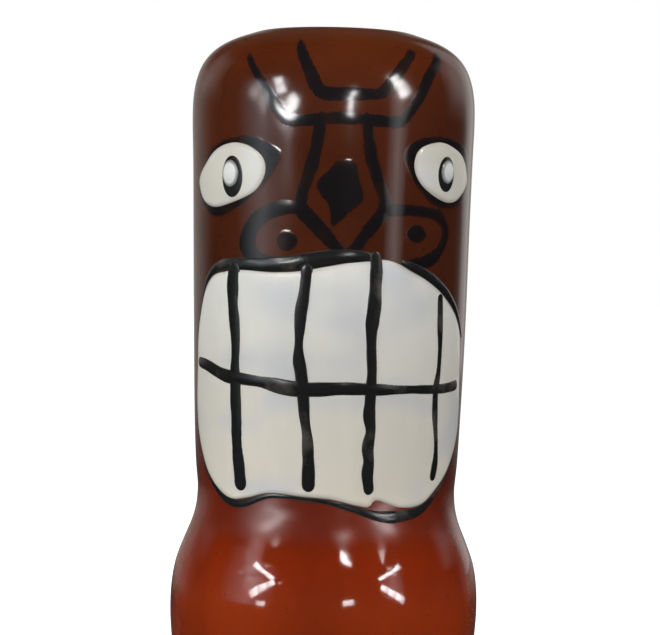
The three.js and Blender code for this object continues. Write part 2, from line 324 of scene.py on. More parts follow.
def brown_colour(tree):
    """The glaze's colour: darker and browner on the head, redder on the belly, lighter at the lip."""
    height = object_height(tree, 0.0, HEIGHT * MM)
    colour = add_ramp(tree, height, [
        (0.0, (0.178, 0.022, 0.0042)),
        (0.20, (0.185, 0.021, 0.0039)),
        (0.26, (0.165, 0.016, 0.0024)),
        (0.33, (0.130, 0.012, 0.0020)),
        (0.45, (0.080, 0.011, 0.0028)),
        (0.65, (0.053, 0.012, 0.0040)),
        (0.90, (0.050, 0.0108, 0.0036)),
        (0.96, (0.060, 0.0115, 0.0027)),
        (1.0, (0.078, 0.0170, 0.0034)),
    ])
    cloud = add_ramp(tree, add_noise(tree, 38, 4, (1, 1, 0.5)), [(0.35, 0.86), (0.65, 1.14)])
    clouded = add_product(tree, colour, cloud)
    specks = add_ramp(tree, add_noise(tree, 1500, 1, seed=3), [(0.72, 0.0), (0.80, 0.8)])
    return add_mix(tree, specks, clouded, (0.015, 0.006, 0.004))


def glaze_roughness(tree):
    """Nearly mirror-smooth on the belly, matt at the waist where the glaze thins, and satin on the dome."""
    return add_ramp(tree, object_height(tree, 0.0, HEIGHT * MM), [
        (0.285, 0.07), (0.31, 0.24), (0.42, 0.24), (0.47, 0.10), (0.82, 0.10), (0.87, 0.13), (1.0, 0.13),
    ])


def brown_glaze():
    """Glossy red-brown glaze with a faint orange-peel surface."""
    material, tree, shader = principled_material("brown_glaze", IOR=GLAZE_IOR)
    tree.links.new(brown_colour(tree), shader.inputs["Base Color"])
    tree.links.new(glaze_roughness(tree), shader.inputs["Roughness"])
    add_orange_peel(tree, shader)
    return material


def bare_clay():
    """Unglazed, sponged earthenware on the foot ring."""
    material, tree, shader = principled_material("bare_clay", Roughness=0.85)
    grain = add_noise(tree, 900, 6)
    colour = add_ramp(tree, grain, [(0.3, (0.34, 0.17, 0.09)), (0.7, (0.50, 0.30, 0.19))])
    tree.links.new(colour, shader.inputs["Base Color"])
    add_bump(tree, shader, grain, 0.0001)
    return material


def white_enamel():
    """Brushed white enamel, with cool grey clouds where it is thin and a soft edge. Its colour is painted
    darker and warmer low on the teeth, a painted shade, and a darker grey higher up, on the eye whites.
    """
    material, tree, shader = principled_material("white_enamel", Roughness=0.16, IOR=GLAZE_IOR)
    thin = add_ramp(tree, add_noise(tree, 40, 1, (1, 1, 1.6), seed=1), [(0.46, 0.0), (0.74, 1.0)])
    # painted shade: the white darkens and warms towards the bottom of the teeth, as if lit from above; higher
    # still, on the eye whites, it turns a darker grey
    shaded_by_height = add_ramp(tree, object_height(tree, 0.06, 0.14), [
        (0.0, (0.63, 0.59, 0.50)),
        (0.77, (0.66, 0.65, 0.60)),
        (0.90, (0.50, 0.48, 0.42)),
    ])
    cloudy = add_mix(tree, thin, shaded_by_height, (0.54, 0.545, 0.55))
    brushed = add_ramp(tree, add_noise(tree, 120, 3, (1, 1, 0.3), seed=2), [(0.35, 0.96), (0.65, 1.0)])
    streaky = add_product(tree, cloudy, brushed)
    edge = add_ramp(tree, paint_depth(tree, 1.5), [(0.0, 0.9), (0.35, 0.3), (1.0, 0.0)])
    edged = add_mix(tree, edge, streaky, (0.34, 0.30, 0.25))
    tree.links.new(edged, shader.inputs["Base Color"])
    add_bump(tree, shader, add_noise(tree, 420, 3, seed=4), FAINT_BUMP)
    return material


def underglaze_black():
    """Black brushed on the clay under the clear brown glaze, so its edges melt into the brown."""
    material, tree, shader = principled_material("underglaze_black", IOR=GLAZE_IOR)
    tree.links.new(glaze_roughness(tree), shader.inputs["Roughness"])
    ragged = add_ramp(tree, add_noise(tree, 600, 4, seed=9), [(0.3, 0.0), (0.7, 0.2)])
    depth = add_node(tree, "ShaderNodeMath", [(0, paint_depth(tree, 1.6)), (1, ragged)])
    depth.operation = "SUBTRACT"
    cover = add_ramp(tree, depth.outputs[0], [(0.15, 0.0), (0.85, 0.97)])
    worn = add_ramp(tree, add_noise(tree, 140, 3, seed=6), [(0.5, 0.0), (0.75, 1.0)])
    black = add_mix(tree, worn, (0.005, 0.005, 0.006), (0.016, 0.008, 0.006))
    tree.links.new(add_mix(tree, cover, brown_colour(tree), black), shader.inputs["Base Color"])
    add_orange_peel(tree, shader)
    return material


def trailed_black():
    """Black drawn over the white. It is scratchy and lets the white through where it is thin."""
    material, tree, shader = principled_material("trailed_black", Roughness=0.2, IOR=GLAZE_IOR)
    patchy = add_ramp(tree, add_noise(tree, 110, 4, seed=6), [(0.52, 0.0), (0.72, 0.8)])
    edge = add_ramp(tree, paint_depth(tree, 0.5), [(0.0, 0.8), (0.7, 0.0)])
    thin = add_node(tree, "ShaderNodeMath", [(0, patchy), (1, edge)])
    thin.operation = "MAXIMUM"
    colour = add_mix(tree, thin.outputs[0], (0.011, 0.011, 0.011), (0.075, 0.068, 0.058))
    tree.links.new(colour, shader.inputs["Base Color"])
    add_bump(tree, shader, add_noise(tree, 500, 3, seed=7), FAINT_BUMP)
    return material


def pupil_glaze():
    """The pale bead of the eye, which fades to grey where it sinks into the black."""
    material, tree, shader = principled_material("pupil_glaze", Roughness=0.06, IOR=GLAZE_IOR)
    colour = add_ramp(tree, paint_depth(tree, 1.6), [
        (0.0, (0.02, 0.02, 0.02)),
        (0.3, (0.20, 0.20, 0.19)),
        (0.7, (0.55, 0.57, 0.55)),
    ])
    cloud = add_ramp(tree, add_noise(tree, 500, 3, seed=8), [(0.4, 0.0), (0.7, 0.25)])
    tree.links.new(add_mix(tree, cloud, colour, (0.3, 0.31, 0.31)), shader.inputs["Base Color"])
    return material


BROWN = brown_glaze()
CLAY = bare_clay()
WHITE = white_enamel()
UNDERGLAZE_BLACK = underglaze_black()
TRAILED_BLACK = trailed_black()
PALE_BEAD = pupil_glaze()

# ---------------------------------------------------------------- the clay body

BODY_COLUMNS = 192
GLAZE_LINE = 1.3       # height in mm where the glaze stops above the foot
GLAZE_STEP = 0.2       # how far the bare clay lies inside the glaze
FOOT_FILLET = 0.35
BARE_MARGIN = 0.5      # how far the bare clay reaches inside the foot ring


def filleted(corners, size):
    """A polyline's corners with each inner corner cut by a small round."""
    rounded = [corners[0]]
    for before, corner, after in zip(corners, corners[1:], corners[2:]):
        back = (before - corner) / np.linalg.norm(before - corner) * size
        on = (after - corner) / np.linalg.norm(after - corner) * size
        for share in (0.0, 0.25, 0.5, 0.75, 1.0):
            rounded.append(corner + back * (1 - share) ** 2 + on * share ** 2)
    rounded.append(corners[-1])
    return np.array(rounded)


def glaze_line(angle):
    """The height in mm of the glaze's lower edge, which is a little wavy."""
    return GLAZE_LINE + 0.25 * np.sin(3 * angle + 1) + 0.15 * np.sin(7 * angle)


def make_body():
    """The revolved body, with its glaze stopping short of the foot."""
    foot = filleted(underside, FOOT_FILLET)[1:-1]
    rows = np.vstack([foot, side])
    angles = np.linspace(0, 2 * math.pi, BODY_COLUMNS, endpoint=False)
    last_outside = len(foot) + side_crest
    points = []
    for index, (radius, height) in enumerate(rows):
        outside = len(foot) <= index <= last_outside
        wobble = hand_wobble(angles, height) if outside else 0 * angles
        bare = outside & (height < glaze_line(angles))
        ring = radius + wobble - GLAZE_STEP * bare
        points += list(np.stack([ring * np.sin(angles), -ring * np.cos(angles), 0 * angles + height], 1))
    middle_below = len(points)
    points += [np.array([0, 0, underside[0][1]]), np.array([0, 0, section[-1][1]])]
    numbers = np.arange(middle_below).reshape(len(rows), BODY_COLUMNS).tolist()
    faces = fan(numbers[0][::-1], middle_below)
    for lower, upper in zip(numbers, numbers[1:]):
        faces += band(lower, upper)
    faces += fan(numbers[-1], middle_below + 1)
    body = add_piece("glazed_body", np.array(points) * MM, faces, [BROWN, CLAY], ["mug_body"])
    foot_inside = underside[-2][0] - BARE_MARGIN
    for polygon in body.data.polygons:
        centre = polygon.center / MM
        angle = math.atan2(centre.x, -centre.y)
        if math.hypot(centre.x, centre.y) > foot_inside and centre.z < glaze_line(angle):
            polygon.material_index = 1
    return body


make_body()

# ---------------------------------------------------------------- strokes and patches on the clay

UNROLL_RADIUS = float(clay_radius(0.75 * HEIGHT))


def unrolled(places):
    """Places (degrees, height, width) as (mm round the mug, height, width)."""
    flat = np.array(places, float)
    flat[:, 0] = np.radians(flat[:, 0]) * UNROLL_RADIUS
    return flat


CURVE_SAMPLES = 60     # on a stroke's or patch's fine line, for each of its places
STROKE_SPACING = 0.7
SOFT_EDGE = 0.95       # how far paint under the glaze spreads past its solid black, in mm
STROKE_SINK = 0.12     # how far the underside of paint lies in the clay
RIM_SINK = 0.015       # how far the rim of paint lies in the clay, so that no edge shows
RIM_INSET = 0.05       # how far the underside of a patch stays inside its rim
TOP_STEPS = 10         # across the top of a stroke
UNDER_SHARES = (0.5, 0, -0.5)     # shares of the half-width where a stroke's underside has its corners
END_TURNS = np.radians([80, 62, 44, 24])     # where loops lie on the round end of a stroke
TAPER = 1.3            # a stroke stands lower where its widest part is more than this many times as wide


def stroke_loops(line, tremble, phase):
    """Centres, half-widths and crosswise directions along a stroke, with round ends."""
    along = np.gradient(line[:, :2], axis=0)
    along /= np.linalg.norm(along, axis=1)[:, None]
    travelled = np.arange(len(line)) * STROKE_SPACING
    half = line[:, 2] / 2
    waves = np.sin(travelled / 2.3 + phase) + np.sin(travelled / 1.1 + 2 * phase)
    half = half * (1 + tremble * waves)
    sway = tremble * 0.8 * np.sin(travelled / 3.1 + 3 * phase)
    across = np.stack([-along[:, 1], along[:, 0]], axis=1)
    centres = line[:, :2] + across * sway[:, None]
    ends = []
    for tip, sign in ((0, -1), (-1, 1)):
        reach = sign * half[tip] * np.sin(END_TURNS)
        ends.append((centres[tip] + along[tip] * reach[:, None], half[tip] * np.cos(END_TURNS), across[tip]))
    (start, start_half, start_across), (end, end_half, end_across) = ends
    repeats = (len(END_TURNS), 1)
    return (
        np.vstack([start, centres, end[::-1]]),
        np.concatenate([start_half, half, end_half[::-1]]),
        np.vstack([np.tile(start_across, repeats), across, np.tile(end_across, repeats)]),
    )


def add_stroke(name, places, material, replaced, lift, base=0.0, tremble=0.03, phase=0.0, spread=0.0,
               roundness=1.0):
    """A brush stroke: a long, low swell of glaze, standing lift mm off its base."""
    flat = unrolled(places)
    flat[:, 2] += 2 * spread
    line = spaced(smooth_curve(flat, CURVE_SAMPLES * len(places)), STROKE_SPACING)
    centres, half, across = stroke_loops(line, tremble, phase)
    steps = np.linspace(-1, 1, TOP_STEPS + 1)
    shares = np.concatenate([steps, UNDER_SHARES])
    rise = np.concatenate([(1 - steps ** 2) ** roundness, np.zeros(len(UNDER_SHARES))])
    sunk = np.concatenate([0 * steps, np.ones(len(UNDER_SHARES))])
    widest = half.max()
    points = []
    depth = []
    for centre, reach, sideways in zip(centres, half, across):
        place = centre + shares[:, None] * reach * sideways
        height = (lift + RIM_SINK) * min(1, reach / widest * TAPER) * rise - RIM_SINK
        points.append(on_clay(place[:, 0] / UNROLL_RADIUS, place[:, 1], base + height - STROKE_SINK * sunk))
        depth.append((1 - np.abs(shares)) * reach * (sunk == 0))
    loops = len(centres)
    per_loop = len(shares)
    points = np.vstack(points)
    depth = np.concatenate(depth)
    numbers = np.arange(loops * per_loop).reshape(loops, per_loop).tolist()
    faces = [face[::-1] for lower, upper in zip(numbers, numbers[1:]) for face in band(lower, upper)]
    faces += [tuple(numbers[0]), tuple(numbers[-1][::-1])]
    piece = add_piece(name, points, faces, [material], replaced)
    set_paint_depth(piece, depth)
    return piece


PATCH_EDGE = (0.0, 0.1, 0.22, 0.36, 0.52, 0.7, 0.86)     # shares of a rounded edge where rings lie


def add_patch(name, outline, material, replaced, slot, lift, base=0.0, edge=0.9, dome=0.0, spacing=0.9,
              rings=18, ripple=0.0, spread=0.0, roundness=1.0):
    """A pool of paint inside a closed outline, anticlockwise. It may swell by a dome in its middle."""
    fine = smooth_curve(unrolled(outline), CURVE_SAMPLES * len(outline), closed=True)
    rim = spaced(fine, spacing)[:-1, :2]
    middle = rim.mean(axis=0)
    inward = middle - rim
    reach = np.linalg.norm(inward, axis=1)
    inward /= reach[:, None]
    rim = rim - inward * spread
    reach = reach + spread
    insets = [edge * share * np.ones_like(reach) for share in PATCH_EDGE]
    insets += [edge + (reach - edge) * (i + 1) / (rings + 1) for i in range(rings)]
    points = []
    depth = []
    for inset in insets:
        place = rim + inward * inset[:, None]
        inside = np.clip(inset / edge, 0, 1)
        rounding = 1 - (1 - inside ** roundness) ** 2
        swell = dome * (1 - (1 - inset / reach) ** 2)
        waves = ripple * np.sin(place[:, 0] / 4.1 + 1) * np.sin(place[:, 1] / 3.3 + place[:, 0] / 9)
        height = base + (lift + waves + RIM_SINK) * rounding - RIM_SINK + swell
        points.append(on_clay(place[:, 0] / UNROLL_RADIUS, place[:, 1], height))
        depth.append(inset * np.ones_like(reach))
    count = len(rim)
    middle_top = len(insets) * count
    points.append(on_clay(middle[0] / UNROLL_RADIUS, middle[1], [base + lift + dome]))
    below = rim + inward * RIM_INSET
    points.append(on_clay(below[:, 0] / UNROLL_RADIUS, below[:, 1], base - STROKE_SINK))
    middle_under = middle_top + 1 + count
    points.append(on_clay(middle[0] / UNROLL_RADIUS, middle[1], [base - STROKE_SINK]))
    depth = np.concatenate([*depth, [reach.min()], np.zeros(count), [0.0]])
    numbers = np.arange(middle_top).reshape(len(insets), count).tolist()
    under = list(range(middle_top + 1, middle_under))
    faces = []
    for lower, upper in zip(numbers, numbers[1:]):
        faces += band(lower, upper)
    faces += fan(numbers[-1], middle_top)
    faces += band(under, numbers[0])
    faces += fan(under[::-1], middle_under)
    piece = add_piece(name, np.vstack(points), faces, [material], replaced)
    set_paint_depth(piece, depth)
    return piece


def oval(degrees, height, half_width, half_height, sides=20):
    """An oval's outline as places, its half-sizes in mm."""
    turns = np.linspace(0, 2 * math.pi, sides, endpoint=False)
    around = degrees + np.degrees(half_width * np.cos(turns) / UNROLL_RADIUS)
    return np.stack([around, height + half_height * np.sin(turns)], axis=1)


# ---------------------------------------------------------------- the face

ENAMEL_LIFT = 0.3
UNDERGLAZE_LIFT = 0.024
TOOTH_LINE_LIFT = 0.12
BITE_LINE_LIFT = 0.16
LIP_LIFT = 0.34
TRAIL_SPREAD = 0.15    # how far a thin line over the white spreads past its brushed edge, in mm

TEETH = [
    (-78.5, 84), (-76.5, 78), (-72, 73), (-66.5, 68.5), (-59, 65), (-50.5, 63), (-41.5, 63.5), (-30, 65),
    (-14.5, 64.5), (-2.5, 64), (9.5, 62.5), (14.5, 62.3), (17, 63.8), (29, 62), (41, 62.5), (52.5, 66.5),
    (61, 71), (69, 77.5), (71, 83.5), (70, 90.5), (68, 98), (65.5, 105), (60.5, 109), (53, 112.5),
    (45.5, 115.5), (37.5, 118), (29.5, 120), (24.5, 121.5), (19, 122.5), (12, 122.5), (-3.5, 121),
    (-15.5, 119.5), (-28, 119), (-42, 119.5), (-51.5, 119), (-60, 118), (-65, 116), (-69, 113),
    (-74, 106.5), (-76.5, 101.5), (-78, 94),
]
BITE_LINE = [
    (-73, 96.2, 2.2), (-66, 95.6, 2.9), (-52, 93.3, 3.3), (-41.5, 92.8, 2.8), (-32, 92.2, 2.9),
    (-23.5, 91.2, 3.5), (-15, 90.7, 3.4), (0.5, 91, 3.3), (9, 91, 2.9), (17, 91, 2.8), (26, 91, 2.4),
    (35.5, 91, 2.0), (46.5, 91, 2.0), (58, 91.4, 2.4), (63, 91.8, 2.2),
]
TOOTH_LINES = [
    [
        (-46.7, 119.2, 3.6), (-47.2, 116, 4.2), (-47.5, 111.5, 3.6), (-46.5, 106.5, 3.3), (-45.5, 100.5, 3.0),
        (-46, 94.5, 3.4), (-46, 88, 3.5), (-45.5, 83.5, 3.6), (-45, 77.5, 3.7), (-44.5, 72.5, 3.9),
        (-44, 67.3, 4.0),
    ],
    [
        (-13.8, 119.6, 2.6), (-14, 118, 2.6), (-15, 113, 2.6), (-16, 109.5, 2.8), (-16.5, 104.5, 3.0),
        (-16.5, 99, 3.1), (-15.5, 94.5, 2.9), (-14.5, 88.5, 3.0), (-14, 84, 2.9), (-12.5, 78.5, 3.1),
        (-12, 73.5, 3.0), (-12, 67.5, 3.2),
    ],
    [
        (13.5, 123, 2.8), (14, 120.5, 3.0), (14, 116.5, 3.0), (13.7, 112, 3.5), (12.5, 107.3, 3.9),
        (12.4, 105, 2.9), (13, 99.5, 2.4), (13.5, 95, 2.6), (12.8, 88, 2.9), (12.5, 84.7, 3.3),
        (13.6, 81, 2.8), (12.8, 76.5, 3.0), (13.4, 73.5, 2.8), (12.9, 70, 3.1), (13.6, 66.8, 3.1),
    ],
    [
        (46.5, 113.5, 1.7), (47, 108, 2.1), (47.5, 102, 2.0), (47, 94.5, 2.0), (46, 91, 2.1),
        (46.5, 84, 2.0), (48, 77, 2.1), (48.3, 73, 2.5), (47.5, 69.5, 2.2),
    ],
]
UPPER_LIP = [
    (-73, 108.5, 0.9), (-69, 114, 1.3), (-63.5, 118, 2.0), (-55, 120.3, 2.8), (-43.5, 120.8, 3.4),
    (-31.5, 120.7, 3.6), (-19.5, 121.3, 4.0), (-8.5, 122.3, 4.2), (1.5, 123.1, 3.8), (9, 123, 3.0),
    (13, 122.7, 2.6),
]
UPPER_LIP_CORNER = [
    (26, 121.9, 1.6), (34.5, 120, 2.6), (44.5, 117.2, 2.7), (54, 113.6, 2.6), (62, 109.4, 1.9),
    (69, 104, 1.0),
]
LOWER_LIP = [
    (-77, 78, 0.8), (-72, 72.5, 1.0), (-66.5, 68, 1.3), (-59, 64.5, 1.7), (-51.5, 62.5, 2.0), (-44, 62, 2.1),
    (-37.5, 63, 1.9), (-30, 64.3, 1.3), (-22, 64.4, 1.1), (-14, 64, 1.1), (-2.5, 63.2, 1.4), (8.5, 61.6, 1.9),
    (15, 60.5, 2.3), (22, 59.8, 2.9), (29.5, 59.9, 3.0), (39.5, 61, 2.4), (48, 63.5, 1.6), (57, 67.5, 1.2),
    (67, 75, 0.9),
]
INNER_BROW = [
    (-20, 174, 2.7), (-15, 168.5, 3.4), (-10.8, 163.5, 3.8), (-9, 162.6, 3.6), (2, 162.5, 3.1),
    (14, 162.8, 3.0), (16.5, 164, 3.0), (22.5, 168.5, 2.8), (30.5, 173, 2.4),
]
OUTER_BROW = [
    (-42.5, 171, 1.6), (-33.5, 164.5, 2.5), (-25, 157.2, 2.9), (-22, 156, 2.9), (-1.5, 156.5, 2.9),
    (12, 156.2, 2.8), (21.5, 156, 2.8), (24, 156.8, 2.8), (29, 160.5, 2.8), (37.5, 168, 2.9),
    (47.5, 173, 2.5),
]
LEFT_NOSE = [
    (-9.5, 156, 2.9), (-11, 149.5, 3.1), (-12.5, 145.5, 3.1), (-14.5, 142, 3.1), (-16.5, 138, 3.1),
    (-16.7, 134.6, 3.6), (-12, 131.5, 3.8), (-6.5, 128, 3.5), (-1, 124.3, 3.1),
]
RIGHT_NOSE = [
    (8.5, 156, 2.7), (10, 149, 3.0), (11.5, 145.5, 3.1), (14, 141.5, 3.2), (16.7, 137, 3.3),
    (16.6, 134.6, 3.3), (13, 131.5, 3.2), (9, 128.5, 3.1), (5, 125, 2.9), (3, 124, 2.6),
]
NOSE_DIAMOND = [
    (-10.5, 140), (-5.5, 135), (-4.5, 130.8), (-3.5, 130.5), (2, 133.6), (7.5, 136.6), (8, 138), (6, 142),
    (4.5, 145.6), (3.5, 146.2), (-3.2, 145.9), (-4.5, 145),
]
LEFT_NOSTRIL = [
    (-18.5, 134.7, 3.4), (-24, 134.7, 3.5), (-31.5, 133.2, 4.0), (-38, 130, 4.7), (-40.3, 126, 4.9),
    (-37.5, 122.9, 4.4), (-31, 121.5, 3.4), (-19.5, 121.2, 3.0),
]
RIGHT_NOSTRIL = [
    (19, 134.7, 3.0), (25, 134.7, 2.7), (36, 134.5, 2.7), (45, 133.3, 2.8), (49, 130, 2.8),
    (46.5, 126, 2.8), (40, 122.8, 3.2), (30.5, 121.6, 2.6),
]
LEFT_NOSTRIL_DOT = oval(-22.5, 126.6, 2.7, 2.3)
RIGHT_NOSTRIL_DOT = oval(32, 129, 2.9, 2.1)
LEFT_EYE_OUTLINE = [
    (-76, 140.5), (-73, 137), (-67, 134.2), (-60, 132.5), (-52, 133), (-44.5, 135), (-38.5, 137.3),
    (-32.5, 140.5), (-27.5, 144.5), (-25.5, 148), (-30.5, 150.2), (-38.5, 152), (-47.5, 151.7),
    (-59, 150), (-68.5, 146),
]
LEFT_EYE_WHITE = [
    (-74, 141.5), (-70.5, 137.2), (-61, 134.8), (-47.5, 136), (-36, 139), (-32, 143), (-32.5, 146.3),
    (-38, 149.3), (-47, 150.6), (-58, 149.2), (-66.5, 146),
]
LEFT_IRIS = oval(-48, 142.3, 3.7, 5.2)
LEFT_PUPIL = oval(-48.8, 143.0, 2.9, 3.4)
RIGHT_EYE_OUTLINE = [
    (25, 148), (28, 143.5), (33, 139.7), (41, 136.3), (51, 135.7), (62.5, 137.5), (70, 142),
    (68.5, 147.3), (61, 151.2), (51, 152.7), (41, 152.9), (33, 152.3), (27.5, 150.7),
]
RIGHT_EYE_WHITE = [
    (29.5, 145.5), (32, 142), (38.5, 139), (49, 137), (58, 138), (66.5, 142.5), (62, 148), (51, 150.9),
    (41.5, 151.7), (31.5, 149.5),
]
RIGHT_IRIS = oval(47, 144, 3.4, 4.5)
RIGHT_PUPIL = oval(47.6, 144.6, 2.6, 3.0)


def paint_teeth():
    add_patch("teeth_enamel_coat", TEETH, WHITE, ["teeth_enamel"], "white_enamel", ENAMEL_LIFT,
              edge=1.1, spacing=1.0, rings=30, ripple=0.06)
    for i, places in enumerate(TOOTH_LINES, start=1):
        nodes = [f"upper_tooth_line_{i}", f"lower_tooth_line_{i}"]
        add_stroke(f"tooth_line_{i}_glaze", places, TRAILED_BLACK, nodes, TOOTH_LINE_LIFT, ENAMEL_LIFT,
                   tremble=0.035, phase=1.7 * i, spread=TRAIL_SPREAD)
    add_stroke("bite_line_glaze", BITE_LINE, TRAILED_BLACK, ["bite_line"], BITE_LINE_LIFT, ENAMEL_LIFT,
               tremble=0.02, phase=0.4, spread=TRAIL_SPREAD)


def paint_lips():
    lines = (
        ("upper_lip_glaze", UPPER_LIP, "upper_lip_line", 0.9),
        ("upper_lip_corner_glaze", UPPER_LIP_CORNER, "upper_lip_corner", 2.2),
        ("lower_lip_glaze", LOWER_LIP, "lower_lip_line", 3.1),
    )
    for name, places, node, phase in lines:
        add_stroke(name, places, TRAILED_BLACK, [node], LIP_LIFT, phase=phase)


def paint_brow_and_nose():
    strokes = {
        "inner_brow_line": INNER_BROW,
        "outer_brow_line": OUTER_BROW,
        "left_nose_line": LEFT_NOSE,
        "right_nose_line": RIGHT_NOSE,
        "left_nostril_ring": LEFT_NOSTRIL,
        "right_nostril_ring": RIGHT_NOSTRIL,
    }
    for i, (node, places) in enumerate(strokes.items()):
        lift = UNDERGLAZE_LIFT + 0.003 * i
        add_stroke(f"{node}_glaze", places, UNDERGLAZE_BLACK, [node], lift, phase=1.3 * i,
                   spread=SOFT_EDGE, roundness=2.0)
    patches = {
        "nose_diamond": NOSE_DIAMOND,
        "left_nostril_dot": LEFT_NOSTRIL_DOT,
        "right_nostril_dot": RIGHT_NOSTRIL_DOT,
    }
    for node, outline in patches.items():
        add_patch(f"{node}_glaze", outline, UNDERGLAZE_BLACK, [node], "black_glaze", UNDERGLAZE_LIFT,
                  edge=1.2, spacing=0.4, rings=8, spread=SOFT_EDGE, roundness=2.0)


def paint_eye(side_name, outline, white, iris, pupil):
    """Black outline, white over it, black iris over that, and a pale bead on top."""
    def coat(part, shape, material, slot, lift, base=0.0, **form):
        node = f"{side_name}_{part}"
        add_patch(f"{node}_glaze", shape, material, [node], slot, lift, base, **form)

    coat("eye_outline", outline, UNDERGLAZE_BLACK, "black_glaze", lift=0.03, edge=1.4, spacing=0.5,
         spread=SOFT_EDGE, roundness=2.0)
    coat("eye_white", white, WHITE, "white_enamel", lift=0.35, edge=1.0, dome=0.15, spacing=0.5)
    coat("iris_ring", iris, TRAILED_BLACK, "black_glaze", lift=0.12, base=0.4, edge=0.6, dome=0.12,
         spacing=0.35)
    coat("pupil", pupil, PALE_BEAD, "white_enamel", lift=0.1, base=0.55, edge=0.5, dome=0.5,
         spacing=0.25)


paint_teeth()
paint_lips()
paint_brow_and_nose()
paint_eye("left", LEFT_EYE_OUTLINE, LEFT_EYE_WHITE, LEFT_IRIS, LEFT_PUPIL)
paint_eye("right", RIGHT_EYE_OUTLINE, RIGHT_EYE_WHITE, RIGHT_IRIS, RIGHT_PUPIL)

# ---------------------------------------------------------------- camera, floor and light

FLOOR_REACH = 12.0
FLOOR_GAP = 0.0001                # keeps the floor clear of the foot's own underside
FLOOR_SIDES = 64
FLOOR_GLOW = 0.74                 # lifts the floor to the white of the studio
FACE_TURN = math.radians(4.5)     # the face looks this far to the right of the camera
CAMERA_DISTANCE = 0.700
CAMERA_HEIGHT = 0.119
CAMERA_PITCH = math.radians(0.92)
CAMERA_ROLL = math.radians(1.22)
CAMERA_ASIDE = 0.00012            # how far the camera stands to the right of the mug's axis


def make_camera():
    camera = bpy.data.objects.new("camera", bpy.data.cameras.new("camera"))
    camera.data.lens = 150
    camera.data.sensor_width = 36
    bpy.context.scene.collection.objects.link(camera)
    place = Matrix.Rotation(-FACE_TURN, 4, "Z") @ Vector((CAMERA_ASIDE, -CAMERA_DISTANCE, CAMERA_HEIGHT))
    look = (
        Matrix.Rotation(-FACE_TURN, 4, "Z")
        @ Matrix.Rotation(math.pi / 2 - CAMERA_PITCH, 4, "X")
        @ Matrix.Rotation(CAMERA_ROLL, 4, "Z")
    )
    camera.matrix_world = Matrix.Translation(place) @ look
    bpy.context.scene.camera = camera


def make_floor():
    """A wide pale floor that runs out into the white of the studio. It is clear from below."""
    angles = np.linspace(0, 2 * math.pi, FLOOR_SIDES, endpoint=False)
    points = [(0, 0, -FLOOR_GAP)]
    points += [(FLOOR_REACH * math.sin(a), -FLOOR_REACH * math.cos(a), -FLOOR_GAP) for a in angles]
    mesh = bpy.data.meshes.new("studio_floor")
    mesh.from_pydata(points, [], fan(list(range(1, FLOOR_SIDES + 1)), 0))
    floor = bpy.data.objects.new("studio_floor", mesh)
    material, tree, shader = principled_material("studio_white", Roughness=0.9)
    shader.inputs["Base Color"].default_value = (0.85, 0.85, 0.85, 1)
    shader.inputs["Emission Color"].default_value = (1, 1, 1, 1)
    shader.inputs["Emission Strength"].default_value = FLOOR_GLOW
    material.cycles.emission_sampling = "NONE"
    behind = tree.nodes.new("ShaderNodeNewGeometry").outputs["Backfacing"]
    clear = tree.nodes.new("ShaderNodeBsdfTransparent")
    one_sided = tree.nodes.new("ShaderNodeMixShader")
    for index, output in enumerate((behind, shader.outputs["BSDF"], clear.outputs["BSDF"])):
        tree.links.new(output, one_sided.inputs[index])
    tree.links.new(one_sided.outputs[0], tree.nodes["Material Output"].inputs["Surface"])
    mesh.materials.append(material)
    bpy.context.scene.collection.objects.link(floor)
    floor.visible_glossy = False
    floor.visible_diffuse = False


BELLY_ZONE = (0.016, math.radians(20))     # a grid's aim on the axis in metres, and its spread
DOME_ZONE = (0.176, math.radians(20))
PANEL_DISTANCE = 0.65
PANEL_STEP = 0.006                          # how far each panel stands behind the one before


def around_mug(angle, distance, height):
    """A point in metres, its angle in degrees round the mug from the middle of the face."""
    turn = math.radians(angle)
    return Vector((distance * math.sin(turn), -distance * math.cos(turn), height))


def add_lamp(name, start, end, width, radiance, aim=0.09, spread=math.pi):
    """A flat lamp from start to end, each (angle, distance, height). It faces the axis at the aim's height.

    A grid may narrow its spread. Its brightness straight ahead stays the same."""
    start, end = around_mug(*start), around_mug(*end)
    middle = (start + end) / 2
    away = (middle - Vector((0, 0, aim))).normalized()
    along = end - start
    along -= away * along.dot(away)
    data = bpy.data.lights.new(name, "AREA")
    data.shape = "RECTANGLE"
    data.size = along.length
    data.size_y = width
    data.energy = radiance * math.pi * data.size * data.size_y
    if spread < math.pi:
        data.spread = spread
        data.energy *= 1 - spread / 2 / math.tan(spread / 2)
    lamp = bpy.data.objects.new(name, data)
    bpy.context.scene.collection.objects.link(lamp)
    along.normalize()
    turn = Matrix((along, away.cross(along), away)).transposed().to_4x4()
    lamp.matrix_world = Matrix.Translation(middle) @ turn
    lamp.visible_camera = False
    return lamp


